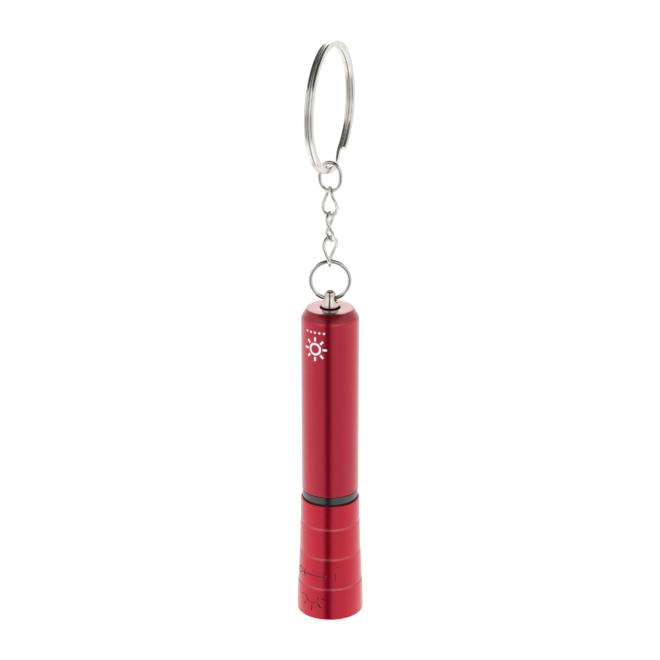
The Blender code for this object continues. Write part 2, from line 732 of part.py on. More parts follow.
def build():
    for obj in list(bpy.data.objects):
        bpy.data.objects.remove(obj, do_unlink=True)

    hook = pivot("hang_point", (0, 0, 0))
    split_ring(hook)

    oval_pivot = (0, 0, OVAL_TOP - OVAL_WIDTH / 2)  # the middle of the link's round end
    carrier = pivot("oval_link_pivot", oval_pivot, hook)
    link("oval_link", OVAL_LENGTH, OVAL_WIDTH, OVAL_WIRE, OVAL_TOP, OVAL_TURN_DEG, OVAL_TURN_DEG, carrier,
         oval_pivot[2])

    wire_z = OVAL_TOP - OVAL_LENGTH + OVAL_WIRE / 2
    for number, (top, turn) in enumerate(zip(CHAIN_TOPS, TWISTED_TOP_DEG), 1):
        carrier = pivot(f"chain_link_{number}_pivot", (0, 0, wire_z), carrier)
        link(f"chain_link_{number}", TWISTED_LENGTH, TWISTED_WIDTH, TWISTED_WIRE, top, turn, turn + TWIST_DEG,
             carrier, wire_z)
        wire_z = top - TWISTED_LENGTH + TWISTED_WIRE / 2
    carrier = pivot("jump_ring_pivot", (0, 0, wire_z), carrier)
    jump_ring(carrier)

    stud = pivot("stud_pivot", (0, 0, STUD_HOLE_Z), carrier)
    swivel_stud(stud)
    stud_washer(stud)

    body = pivot("barrel_pivot", (0, 0, TAIL_Z), stud)
    barrel(body)
    stud_retainer(body)

    module = pivot("power_module_slide", (0, 0, level(COLLAR_TOP)), body)
    battery_carrier(module)
    carrier_cap(module)
    button_cells(module)
    battery_spring(module)
    module_contacts(module)
    return_strip(module)
    head_o_ring(module)
    head_clip(module)

    head = pivot("head_pivot", (0, 0, level(HEAD_TOP)), module)
    head_shell(head)
    lens_stack(head)
    reflector(head)
    led(head)
    head_internals(head)


build()
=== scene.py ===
"""Looks for the keychain flashlight. Metres, +Z up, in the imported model's own frame.

Each visible CAD node is replaced by a finer piece of the same size and place, or gets a better material.
"""

import math

import bmesh
import bpy
from mathutils import Matrix, Vector


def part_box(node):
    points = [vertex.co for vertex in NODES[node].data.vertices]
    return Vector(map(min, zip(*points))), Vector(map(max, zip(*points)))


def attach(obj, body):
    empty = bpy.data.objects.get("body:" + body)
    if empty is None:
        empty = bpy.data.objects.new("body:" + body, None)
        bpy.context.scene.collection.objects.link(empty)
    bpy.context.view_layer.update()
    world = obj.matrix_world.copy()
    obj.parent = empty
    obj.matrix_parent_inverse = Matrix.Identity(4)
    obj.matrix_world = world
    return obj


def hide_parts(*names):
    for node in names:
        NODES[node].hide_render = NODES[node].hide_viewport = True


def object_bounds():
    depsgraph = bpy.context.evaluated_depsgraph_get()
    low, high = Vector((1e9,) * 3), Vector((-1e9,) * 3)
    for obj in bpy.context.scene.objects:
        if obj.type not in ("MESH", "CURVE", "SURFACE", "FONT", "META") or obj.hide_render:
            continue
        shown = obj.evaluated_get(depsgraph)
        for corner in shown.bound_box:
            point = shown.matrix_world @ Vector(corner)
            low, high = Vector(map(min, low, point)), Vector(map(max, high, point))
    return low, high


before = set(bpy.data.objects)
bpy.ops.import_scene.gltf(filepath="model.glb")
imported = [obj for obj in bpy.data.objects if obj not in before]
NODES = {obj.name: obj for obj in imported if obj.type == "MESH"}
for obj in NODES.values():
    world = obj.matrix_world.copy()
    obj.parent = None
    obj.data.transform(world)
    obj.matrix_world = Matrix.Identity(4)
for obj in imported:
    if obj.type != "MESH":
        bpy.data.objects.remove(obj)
CAD_LOW, CAD_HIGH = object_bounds()

MM = 0.001

# Camera, in the row frame
CAMERA_PLACE = Vector((-0.03, -414.0, 88.35)) * MM
CAMERA_PITCH_DEG = 19.94
CAMERA_LENS = 111.25  # mm, on a 36 mm sensor

# Studio
FLOOR_DROP = 0.35  # how far the floor lies below the flashlight
FLOOR_RADIUS = 4.0
FLOOR_GLOW = 0.6  # the pale sweep's own light, so that it stays plain
BACKDROP = 1.2  # what the camera sees beyond the floor
CARD_DEG = -8.5  # the dark card beside the camera: its turn from the camera's side toward +X
CARD_CORE_DEG = 2.0  # half width of its darkest part
CARD_EDGE_DEG = 24.0  # half width at which it has faded out
CARD_DARKEST = 0.03
CEILING_STARTS_DEG = 31.0  # the studio is dark overhead
CEILING_FULL_DEG = 42.0
CEILING_DARKEST = 0.08
LOW_WALLS = (  # (turn from the camera's side in degrees, radiance) below the horizon
    (0, 0.50),
    (20, 0.50),
    (45, 0.54),
    (60, 0.61),
    (81, 0.70),
    (100, 0.76),
    (125, 0.84),
    (153, 0.82),
    (180, 0.90),
)
HIGH_WALLS = ((0, 0.95), (45, 0.80), (90, 0.65), (135, 0.85), (160, 1.35), (180, 1.6))  # the same above it
WALLS_MEET_DEG = (-10, 8)  # elevations where the low walls end and the high ones are reached
UNDERFOOT = 1.0
UNDERFOOT_DEG = (-60, -35)  # elevations where the underfoot light ends and the walls are reached
FRONT_LIGHT = 1.25  # soft light from the camera's side that shows in no reflection
FRONT_LIGHT_FROM = Vector((-0.35, -0.85, 0.4))
FRONT_LIGHT_SPREAD_DEG = 60.0

# How finely round pieces are made
LATHE_STEPS = 192
CARRIER_STEPS = 160
OPTIC_STEPS = 128
SMALL_STEPS = 96
TINY_STEPS = 40
WIRE_SIDES = 20
TOLERANCE = 0.01 * MM
SMOOTH_BELOW_DEG = 28.0  # edges bent less than this are shaded smooth
WIRE_SMOOTH_DEG = 50.0

# Split ring
RING_TURN_DEG = 71.0
RING_WIRE_RADIAL = 1.45 * MM
RING_WIRE_AXIAL = 0.92 * MM
RING_TURN_GAP = 0.08 * MM
RING_JOG_START_DEG = -84.0  # where the wire steps over from one layer to the other
RING_JOG_END_DEG = -55.0
RING_STEPS = 460
RING_END_SCALE = 0.9  # the wire's cut ends are a little smaller, so their edges look broken

# Chain
OVAL_WIDTH = 5.5 * MM
OVAL_WIRE = 0.85 * MM
LINK_ROUNDNESS = 0.4  # 1 makes an ellipse, and less makes the ends fuller
TWIST_SHARE = 0.76  # how much of a link's length the twist takes
TWISTED_WIDTH = 4.5 * MM
TWISTED_WIRE = 0.80 * MM
TWIST_DEG = 52.0
TWISTED_TOP_DEG = (103.0, 64.0, 33.0)  # each link's turn at its top
LINK_STEPS = 150
LINK_END_SCALE = 0.97
JUMP_WIRE = 0.90 * MM
JUMP_SEAM_DEG = 128.0
JUMP_STEPS = 220
JUMP_END_SCALE = 0.95
SEAM = 0.02 * MM  # the hairline where a link's wire ends meet

# Barrel
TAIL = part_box("barrel")[1].z
BARREL_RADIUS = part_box("barrel")[1].x
BARREL_BORE = 5.3 * MM
TAIL_FLAT_RADIUS = 5.12 * MM
TAIL_CHAMFER = 2.1 * MM
TAIL_WALL = 2.8 * MM
TAIL_HOLE_RADIUS = 2.25 * MM
CHAMFER_SHADE_SHARE = 0.8  # how much of the chamfer's height takes the darker lacquer, painted shade
THREAD_START = 0.9 * MM
THREAD_PITCH = 1.0 * MM
THREAD_DEPTH = 0.12 * MM
BARREL_THREAD_TURNS = 5
CARRIER_THREAD_TURNS = 4
INK_THICKNESS = 0.012 * MM
INK_SUNK = 0.004 * MM

# Stud
STUD_FLANGE_DEPTH = 1.1 * MM
STUD_SHANK_RADIUS = 1.62 * MM
STUD_NECK_RADIUS = 1.80 * MM
STUD_FOOT_RADIUS = 1.88 * MM
STUD_WAIST_RADIUS = 1.22 * MM
STUD_CAP_HEIGHT = 0.95 * MM
STUD_CAP_DEG = 74.0  # how far the cap's curve turns before it is cut flat
STUD_HOLE_Z = TAIL + 2.0 * MM
STUD_HOLE_RADIUS = 0.98 * MM
STUD_HOLE_TURN_DEG = -10.0
DRILL_REACH = 4 * MM

# Head, with heights over its front rim
HEAD_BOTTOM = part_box("head_shell")[0].z
HEAD_TOP = 27.4 * MM
HEAD_GROOVES = (7.45 * MM, 14.6 * MM, 21.75 * MM)
HEAD_RADII = (  # each band's radius at its foot and at its top
    (7.47 * MM, 7.24 * MM),
    (7.17 * MM, 6.86 * MM),
    (6.80 * MM, 6.63 * MM),
    (6.59 * MM, 6.51 * MM),
)
GROOVE_RAMP = 0.24 * MM  # height of the slope below each groove
GROOVE_FLOOR = (0.06 * MM, 0.14 * MM)  # where each groove's floor starts and ends, over its height
GROOVE_TOP = 0.2 * MM
GROOVE_DEPTH = 0.10 * MM
STROKE_RADIUS = 0.16 * MM  # the round cutter of the engraved lines
STROKE_LIFT = 0.03 * MM  # how far the cutter's middle stands off the head
SPIGOT_BORE = 5.15 * MM
OPTIC_BORE = 5.9 * MM
OPTIC_BORE_TOP = 14.7 * MM
LENS_BORE = 6.3 * MM
LENS_BORE_TOP = 3.0 * MM
MOUTH_BEVEL = 0.3 * MM
CLIP_GROOVE = (23.85 * MM, 24.55 * MM)
CLIP_GROOVE_DEPTH = 0.32 * MM

# Optics
LENS_DOME = 0.28 * MM
LENS_DOME_SHARE = 0.94  # of the lens's radius
LENS_EDGE = 0.42 * MM
LENS_RING_BORE = 5.5 * MM
LENS_RING_BEVEL = (0.3 * MM, 0.25 * MM)
BOWL_MOUTH = 5.3 * MM
BOWL_THROAT = 2.7 * MM
BOWL_FLOOR = 0.4 * MM
LED_RADIUS = 2.5 * MM
LED_FLANGE = 1.1 * MM
CUP_RIM = 2.9 * MM  # heights over the LED's dome
CUP_BASE = 3.5 * MM
CUP_RADIUS = 0.7 * MM

# Battery carrier, with the same heights
PIN_BORE = 0.9 * MM
SPIGOT = 5.0 * MM
SPIGOT_BEVEL = 0.2 * MM
SPIGOT_GROOVES = (  # (height, width, floor radius) for the O-ring and the clip
    (20.5 * MM, 1.0 * MM, 4.3 * MM),
    (24.2 * MM, 0.7 * MM, 4.5 * MM),
)
# LIP is a thin step under the collar in matt black rubber: a painted shadow line where the collar meets the
# head
LIP = 6.26 * MM
LIP_BOTTOM = 27.45 * MM
COLLAR = 6.15 * MM
COLLAR_BOTTOM = 27.7 * MM
COLLAR_TOP = 29.29 * MM
TUBE = 5.05 * MM
CELL_BORE = 4.15 * MM
CELL_FLOOR = 30.8 * MM
RIB_COUNT = 5
RIB_START = 36.0 * MM
RIB_PITCH = 4.6 * MM
RIB_WIDTH = 0.8 * MM
RIB_DEPTH = 0.12 * MM
STRIP_SLOT_BOTTOM = 30.1 * MM
STRIP_THICKNESS = 0.25 * MM
STRIP_PLAY = (0.12 * MM, 0.15 * MM)  # through the strip's thickness, and at its sides


def level(height):
    """A height over the head's front rim as a Z."""
    return HEAD_BOTTOM + height


# ---------------------------------------------------------------- node helpers


class Shader:
    """A Principled material built with short calls."""

    def __init__(self, name, colour, metallic=0.0, roughness=0.4):
        self.material = bpy.data.materials.new(name)
        self.material.use_nodes = True
        self.tree = self.material.node_tree
        self.bsdf = self.tree.nodes["Principled BSDF"]
        self.set("Base Color", (*colour, 1.0))
        self.set("Metallic", metallic)
        self.set("Roughness", roughness)
        self.material.diffuse_color = (*colour, 1.0)
        self.place = self.node("ShaderNodeTexCoord").outputs["Object"]

    def node(self, kind, **values):
        made = self.tree.nodes.new(kind)
        for key, value in values.items():
            setattr(made, key, value)
        return made

    def set(self, socket, value):
        self.bsdf.inputs[socket].default_value = value

    def link(self, out, into):
        self.tree.links.new(out, into)

    def noise(self, scale, detail=3.0, stretch=None):
        made = self.node("ShaderNodeTexNoise")
        made.inputs["Scale"].default_value = scale
        made.inputs["Detail"].default_value = detail
        source = self.place
        if stretch:
            mapping = self.node("ShaderNodeMapping")
            mapping.inputs["Scale"].default_value = stretch
            self.link(source, mapping.inputs["Vector"])
            source = mapping.outputs["Vector"]
        self.link(source, made.inputs["Vector"])
        return made.outputs["Fac"]

    def cells(self, scale):
        made = self.node("ShaderNodeTexVoronoi")
        made.inputs["Scale"].default_value = scale
        self.link(self.place, made.inputs["Vector"])
        return made.outputs["Color"]

    def ranged(self, source, low, high, start=0.3, end=0.7):
        """source from start to end becomes low to high."""
        made = self.node("ShaderNodeMapRange")
        made.inputs["From Min"].default_value = start
        made.inputs["From Max"].default_value = end
        made.inputs["To Min"].default_value = low
        made.inputs["To Max"].default_value = high
        self.link(source, made.inputs["Value"])
        return made.outputs["Result"]

    def roughness(self, source, low, high):
        self.link(self.ranged(source, low, high), self.bsdf.inputs["Roughness"])

    def colours(self, source, first, second):
        made = self.node("ShaderNodeMix", data_type="RGBA")
        made.inputs["A"].default_value = (*first, 1.0)
        made.inputs["B"].default_value = (*second, 1.0)
        self.link(self.ranged(source, 0.0, 1.0), made.inputs["Factor"])
        self.link(made.outputs["Result"], self.bsdf.inputs["Base Color"])

    def bump(self, source, depth, strength=1.0, socket="Normal"):
        made = self.node("ShaderNodeBump")
        made.inputs["Strength"].default_value = strength
        made.inputs["Distance"].default_value = depth
        self.link(source, made.inputs["Height"])
        self.link(made.outputs["Normal"], self.bsdf.inputs[socket])


def red_lacquer(name, deep, bright, metallic, roughness, coat_ior=1.5):
    """Metallic lacquer: fine flakes under a clear coat with a faint orange peel."""
    made = Shader(name, bright, metallic, roughness)
    flakes = made.cells(11000.0)
    made.colours(flakes, deep, bright)
    made.bump(flakes, 0.0015 * MM, 0.35)
    made.roughness(made.noise(900.0), roughness - 0.03, roughness + 0.03)
    made.set("Coat Weight", 1.0)
    made.set("Coat Roughness", 0.035)
    made.set("Coat IOR", coat_ior)
    made.set("Sheen Weight", 0.35)
    made.set("Sheen Roughness", 0.28)
    made.set("Sheen Tint", (1.0, 0.95, 0.96, 1.0))
    made.bump(made.noise(1100.0, 2.0), 0.002 * MM, 0.3, "Coat Normal")
    return made.material


def plated(name, colour, second, low, high, pits=0.0012 * MM):
    """Plated metal: a little colour drift, patchy gloss, and fine pits."""
    made = Shader(name, colour, 1.0, low)
    made.colours(made.noise(420.0), colour, second)
    made.roughness(made.noise(1500.0, 4.0), low, high)
    made.bump(made.noise(5200.0, 3.0), pits, 0.5)
    return made.material


def moulded(name, colour, second, low, high, grain=0.004 * MM, scale=3800.0, gloss=0.5, polish=0.0):
    """Moulded plastic or rubber with a fine grain. polish gives it a smooth, bright skin."""
    made = Shader(name, colour, 0.0, low)
    made.set("Specular IOR Level", gloss)
    made.set("Coat Weight", polish)
    made.set("Coat Roughness", 0.04)
    made.set("Coat IOR", 1.85)
    made.colours(made.noise(500.0), colour, second)
    made.roughness(made.noise(1300.0), low, high)
    made.bump(made.noise(scale, 3.0), grain, 0.4)
    return made.material


def clear(name, colour, ior):
    made = Shader(name, colour, 0.0, 0.02)
    made.set("Transmission Weight", 1.0)
    made.set("IOR", ior)
    made.roughness(made.noise(700.0), 0.01, 0.035)
    made.bump(made.noise(350.0, 1.0), 0.0015 * MM, 0.2)
    return made.material


def board_material(name):
    """Green solder mask with lighter copper runs under it."""
    made = Shader(name, (0.02, 0.16, 0.06), 0.0, 0.35)
    runs = made.node("ShaderNodeTexWave", bands_direction="X")
    runs.inputs["Scale"].default_value = 260.0
    runs.inputs["Distortion"].default_value = 3.0
    made.link(made.place, runs.inputs["Vector"])
    made.colours(runs.outputs["Fac"], (0.012, 0.11, 0.04), (0.05, 0.27, 0.1))
    made.bump(runs.outputs["Fac"], 0.01 * MM, 0.4)
    made.roughness(made.noise(1200.0), 0.28, 0.42)
    return made.material


BARREL_RED = red_lacquer("barrel_red", (0.56, 0.005, 0.035), (0.70, 0.008, 0.045), 0.80, 0.2)
# Darker copy of the barrel's lacquer for the upper chamfer: painted shade
CHAMFER_SHADE_RED = red_lacquer("chamfer_painted_shade_red", (0.36, 0.005, 0.022), (0.46, 0.008, 0.028), 0.80, 0.22)
# Darker copy of the barrel's lacquer for the flat tail: painted shade
TAIL_SHADE_RED = red_lacquer("tail_painted_shade_red", (0.26, 0.004, 0.014), (0.32, 0.006, 0.018), 0.80, 0.2, coat_ior=2.0)
HEAD_RED = red_lacquer("head_red", (0.68, 0.001, 0.030), (0.84, 0.002, 0.040), 0.80, 0.2)
# Lighter, pinker copy of the head's lacquer for the grooves: painted highlight
GROOVE_HIGHLIGHT_RED = red_lacquer("groove_painted_highlight_red", (0.62, 0.06, 0.08), (0.76, 0.10, 0.12), 0.78, 0.24)
# Darker copy of the head's lacquer for the engraved cuts: painted shade in the cut lines
ENGRAVED_SHADE_RED = red_lacquer("engraved_painted_shade_red", (0.22, 0.001, 0.010), (0.30, 0.001, 0.016), 0.6, 0.35)
NICKEL = plated("bright_nickel_plate", (0.95, 0.93, 0.90), (0.86, 0.84, 0.81), 0.07, 0.17)
STUD_NICKEL = plated("warm_nickel_plate", (0.97, 0.88, 0.78), (0.88, 0.79, 0.69), 0.10, 0.18)
SPRING_STEEL = plated("spring_steel", (0.55, 0.55, 0.56), (0.42, 0.42, 0.44), 0.22, 0.36)
BRASS = plated("stamped_brass", (0.80, 0.62, 0.30), (0.70, 0.50, 0.22), 0.2, 0.36)
CELL_STEEL = plated("cell_can", (0.74, 0.74, 0.74), (0.62, 0.62, 0.63), 0.16, 0.3)
MIRROR = plated("metallised_bowl", (0.93, 0.93, 0.94), (0.88, 0.88, 0.89), 0.03, 0.09, 0.0006 * MM)
BLACK = moulded(
    "black_abs", (0.010, 0.010, 0.012), (0.014, 0.014, 0.017), 0.14, 0.24, grain=0.0015 * MM, polish=1.0
)
WHITE = moulded("white_moulding", (0.82, 0.82, 0.80), (0.74, 0.74, 0.72), 0.34, 0.5)
PRINT = moulded(
    "white_ink", (0.90, 0.89, 0.88), (0.80, 0.79, 0.78), 0.4, 0.55, grain=0.003 * MM, scale=9000.0
)
# Matt black rubber for the rubber parts, and for the painted shadow line on the step under the collar
RUBBER_AND_SHADOW_LINE = moulded(
    "black_rubber", (0.008, 0.008, 0.008), (0.014, 0.014, 0.014), 0.55, 0.75, grain=0.01 * MM, gloss=0.25
)
CLEAR = clear("clear_lens", (0.97, 0.98, 0.99), 1.49)
EPOXY = clear("clear_epoxy", (0.95, 0.97, 0.98), 1.52)
BOARD = board_material("circuit_board")
# Near-black finish for the wall of the tail's hole: painted shade in the hole
PAINTED_SHADE_BORE = moulded("painted_shade_bore", (0.006, 0.005, 0.005), (0.010, 0.008, 0.008), 0.55, 0.75, gloss=0.2)
PHOSPHOR = moulded("phosphor", (0.86, 0.66, 0.06), (0.75, 0.5, 0.03), 0.5, 0.7)


# ---------------------------------------------------------------- mesh helpers


def piece(name, mesh_or_bmesh, material, body, slot, *nodes, sharp_deg=SMOOTH_BELOW_DEG):
    """A finished piece: rides on body, takes the material given, and stands for the CAD nodes named. slot is
    not used.
    """
    mesh = mesh_or_bmesh
    if isinstance(mesh, bmesh.types.BMesh):
        mesh = bpy.data.meshes.new(name)
        mesh_or_bmesh.to_mesh(mesh)
        mesh_or_bmesh.free()
    mesh.materials.append(material)
    mesh.shade_smooth()
    mesh.set_sharp_from_angle(angle=math.radians(sharp_deg))
    made = bpy.data.objects.new(name, mesh)
    bpy.context.scene.collection.objects.link(made)
    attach(made, body)
    if nodes:
        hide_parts(*nodes)
    return made


def turned(profile, steps=LATHE_STEPS):
    """A closed outline of (radius, z) points, turned round the Z axis."""
    made = bmesh.new()
    rings = []
    for radius, z in profile:
        if radius < 1e-9:
            rings.append([made.verts.new((0, 0, z))] * steps)
            continue
        angles = [2 * math.pi * k / steps for k in range(steps)]
        rings.append([made.verts.new((radius * math.cos(a), radius * math.sin(a), z)) for a in angles])
    for i, ring in enumerate(rings):
        other = rings[(i + 1) % len(rings)]
        if ring[0] is ring[1] and other[0] is other[1]:
            continue
        for k in range(steps):
            n = (k + 1) % steps
            corners = [ring[k], other[k], other[n], ring[n]]
            corners = [v for j, v in enumerate(corners) if v is not corners[j - 1]]
            made.faces.new(corners)
    bmesh.ops.recalc_face_normals(made, faces=made.faces)
    return made


def softened(profile, radii, points=4):
    """The outline with the corners named in radii, {index: radius}, rounded."""
    found = []
    count = len(profile)
    for i, here in enumerate(profile):
        radius = radii.get(i, 0.0)
        if not radius:
            found.append(here)
            continue
        corner = Vector(here)
        before = Vector(profile[i - 1]) - corner
        after = Vector(profile[(i + 1) % count]) - corner
        reach = min(radius / math.tan(before.angle(after) / 2), before.length * 0.45, after.length * 0.45)
        start = corner + before.normalized() * reach
        end = corner + after.normalized() * reach
        for k in range(points + 1):
            t = k / points
            found.append(tuple(start * (1 - t) ** 2 + corner * 2 * t * (1 - t) + end * t * t))
    return found


def swept(places, frames, outline, closed, tips=()):
    """An outline of (across, along) carried along places. tips are the outline's scales at the open ends."""
    made = bmesh.new()
    rings = []
    last_index = len(places) - 1
    for i, (place, (across, along)) in enumerate(zip(places, frames)):
        near_end = min(i, last_index - i)
        scale = tips[near_end] if near_end < len(tips) else 1.0
        rings.append([made.verts.new(place + across * x * scale + along * y * scale) for x, y in outline])
    count = len(outline)
    for i in range(len(rings) if closed else last_index):
        here, there = rings[i], rings[(i + 1) % len(rings)]
        for k in range(count):
            n = (k + 1) % count
            made.faces.new((here[k], here[n], there[n], there[k]))
    if not closed:
        made.faces.new(list(reversed(rings[0])))
        made.faces.new(rings[-1])
    bmesh.ops.recalc_face_normals(made, faces=made.faces)
    return made


def round_outline(radius, sides=WIRE_SIDES):
    angles = [2 * math.pi * k / sides for k in range(sides)]
    return [(radius * math.cos(a), radius * math.sin(a)) for a in angles]


def pillow_outline(wide, tall, sides=32, squareness=2.9):
    """A rectangle with full, rounded corners, as rolled flat wire has."""
    found = []
    for k in range(sides):
        angle = 2 * math.pi * k / sides
        c, s = math.cos(angle), math.sin(angle)
        found.append((
            math.copysign(abs(c) ** (2 / squareness), c) * wide / 2,
            math.copysign(abs(s) ** (2 / squareness), s) * tall / 2,
        ))
    return found


def direction(degrees):
    """The level unit vector at this turn from +X."""
    return Vector((math.cos(math.radians(degrees)), math.sin(math.radians(degrees)), 0))


def smooth(share):
    share = min(1.0, max(0.0, share))
    return share * share * (3 - 2 * share)


def cut(obj, cutters, slot_index=0):
    """Takes each cutter's mesh out of a piece. The cut faces get the piece's material of this index."""
    for number, cutter in enumerate(cutters):
        mesh = bpy.data.meshes.new(f"{obj.name}_cutter_{number}")
        for face in cutter.faces:
            face.material_index = slot_index
        cutter.to_mesh(mesh)
        cutter.free()
        helper = bpy.data.objects.new(mesh.name, mesh)
        bpy.context.scene.collection.objects.link(helper)
        modifier = obj.modifiers.new("cut", "BOOLEAN")
        modifier.operation = "DIFFERENCE"
        modifier.solver = "EXACT"
        modifier.object = helper
        bpy.context.view_layer.update()
        evaluated = obj.evaluated_get(bpy.context.evaluated_depsgraph_get())
        result = bpy.data.meshes.new_from_object(evaluated)
        obj.modifiers.clear()
        obj.data = result
        bpy.data.objects.remove(helper)
        bpy.data.meshes.remove(mesh)
    obj.data.shade_smooth()
    obj.data.set_sharp_from_angle(angle=math.radians(SMOOTH_BELOW_DEG))


# ---------------------------------------------------------------- ring and chain


def split_ring():
    """Two turns of rolled wire, side by side, that step over once."""
    low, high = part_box("split_ring")
    outer = (high.z - low.z) / 2
    centre = Vector((0, 0, (high.z + low.z) / 2))
    mean = outer - RING_WIRE_RADIAL / 2
    in_plane, normal = direction(RING_TURN_DEG), direction(RING_TURN_DEG - 90)
    layer = (RING_WIRE_AXIAL + RING_TURN_GAP) / 2
    start, end = RING_JOG_END_DEG, RING_JOG_START_DEG + 720
    places, frames = [], []
    for k in range(RING_STEPS + 1):
        angle = start + (end - start) * k / RING_STEPS
        share = (angle - (RING_JOG_START_DEG + 360)) / (RING_JOG_END_DEG - RING_JOG_START_DEG)
        side = layer * (1 - 2 * smooth(share))
        outward = in_plane * math.cos(math.radians(angle)) + Vector((0, 0, math.sin(math.radians(angle))))
        places.append(centre + outward * mean + normal * side)
        frames.append((outward, normal))
    outline = pillow_outline(RING_WIRE_RADIAL, RING_WIRE_AXIAL)
    made = swept(places, frames, outline, closed=False, tips=(RING_END_SCALE,))
    piece("split_ring_wire", made, NICKEL, "ring", "bright_nickel", "split_ring", sharp_deg=WIRE_SMOOTH_DEG)


def loop_frames(places, middle_of):
    """At each place of a loop, the directions away from its middle and across its wire."""
    frames = []
    last = len(places) - 1
    for i, place in enumerate(places):
        tangent = (places[min(i + 1, last)] - places[max(i - 1, 0)]).normalized()
        outward = place - middle_of(place)
        outward = (outward - tangent * outward.dot(tangent)).normalized()
        frames.append((outward, tangent.cross(outward)))
    return frames


def link(node, body, width, wire, turn_top, turn_bottom, seam_side):
    """A wire link with its butt seam half way down one leg."""
    low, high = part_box(node)
    length, centre_z = high.z - low.z, (high.z + low.z) / 2
    half_width, half_length = (width - wire) / 2, (length - wire) / 2
    leg = half_length - half_width
    places = []
    opening = 2 * (SEAM / 2 / leg) ** (1 / LINK_ROUNDNESS)
    for k in range(LINK_STEPS + 1):
        angle = opening / 2 + (2 * math.pi - opening) * k / LINK_STEPS
        x = half_width * math.cos(angle) * seam_side
        rise = math.sin(angle)
        z = half_width * rise + math.copysign(leg * abs(rise) ** LINK_ROUNDNESS, rise)
        share = smooth(0.5 + z / (2 * half_length * TWIST_SHARE))
        turn = turn_bottom + (turn_top - turn_bottom) * share
        places.append(direction(turn) * x + Vector((0, 0, centre_z + z)))

    def middle_of(place):
        """The nearest point of the link's own middle line."""
        return Vector((0, 0, min(max(place.z, centre_z - leg), centre_z + leg)))

    frames = loop_frames(places, middle_of)
    made = swept(places, frames, round_outline(wire / 2), closed=False, tips=(LINK_END_SCALE,))
    piece(f"{node}_wire", made, NICKEL, body, "bright_nickel", node, sharp_deg=WIRE_SMOOTH_DEG)


def jump_ring():
    """A round wire ring with a hairline seam."""
    low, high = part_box("jump_ring")
    mean = (high.z - low.z - JUMP_WIRE) / 2
    centre = Vector((0, 0, (high.z + low.z) / 2))
    opening = math.degrees(SEAM / mean)
    places, frames = [], []
    for k in range(JUMP_STEPS + 1):
        angle = math.radians(JUMP_SEAM_DEG + opening / 2 + (360 - opening) * k / JUMP_STEPS)
        outward = Vector((math.cos(angle), 0, math.sin(angle)))
        places.append(centre + outward * mean)
        frames.append((outward, Vector((0, 1, 0))))
    made = swept(places, frames, round_outline(JUMP_WIRE / 2), closed=False, tips=(JUMP_END_SCALE,))
    piece("jump_ring_wire", made, NICKEL, "jump", "bright_nickel", "jump_ring", sharp_deg=WIRE_SMOOTH_DEG)


# ---------------------------------------------------------------- tail and barrel


def swivel_stud():
    """A flared nose with a domed cap, over the shank and flange that stay inside the tail."""
    low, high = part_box("swivel_stud")
    tip = high.z
    flange_radius, flange_top = high.x, low.z + STUD_FLANGE_DEPTH
    profile = [
        (0, low.z),
        (flange_radius, low.z),
        (flange_radius, flange_top),
        (STUD_SHANK_RADIUS, flange_top),
        (STUD_SHANK_RADIUS, TAIL - 0.25 * MM),
        (STUD_NECK_RADIUS, TAIL + 0.02 * MM),
    ]
    cap_base = tip - STUD_CAP_HEIGHT
    flare_steps, cap_steps = 12, 8
    for k in range(1, flare_steps + 1):
        share = k / flare_steps
        narrowing = (STUD_FOOT_RADIUS - STUD_WAIST_RADIUS) * smooth(share * 1.1 - 0.1)  # full at the foot
        profile.append((STUD_FOOT_RADIUS - narrowing, TAIL + (cap_base - TAIL) * share))
    cap_turn = math.radians(STUD_CAP_DEG)
    for k in range(1, cap_steps + 1):
        angle = cap_turn * k / cap_steps
        rise = STUD_CAP_HEIGHT * math.sin(angle) / math.sin(cap_turn)
        profile.append((STUD_WAIST_RADIUS * math.cos(angle), cap_base + rise))
    profile.append((0, tip))
    shape = turned(profile, SMALL_STEPS)
    made = piece("swivel_stud_body", shape, STUD_NICKEL, "stud", "warm_nickel", "swivel_stud")
    drill_profile = [
        (0, -DRILL_REACH),
        (STUD_HOLE_RADIUS, -DRILL_REACH),
        (STUD_HOLE_RADIUS, DRILL_REACH),
        (0, DRILL_REACH),
    ]
    drill = turned(drill_profile, TINY_STEPS)
    turn = Matrix.Rotation(math.radians(STUD_HOLE_TURN_DEG), 4, "Z")
    level_out = Matrix.Rotation(math.radians(90), 4, "Y")
    drill.transform(Matrix.Translation((0, 0, STUD_HOLE_Z)) @ turn @ level_out)
    cut(made, [drill])


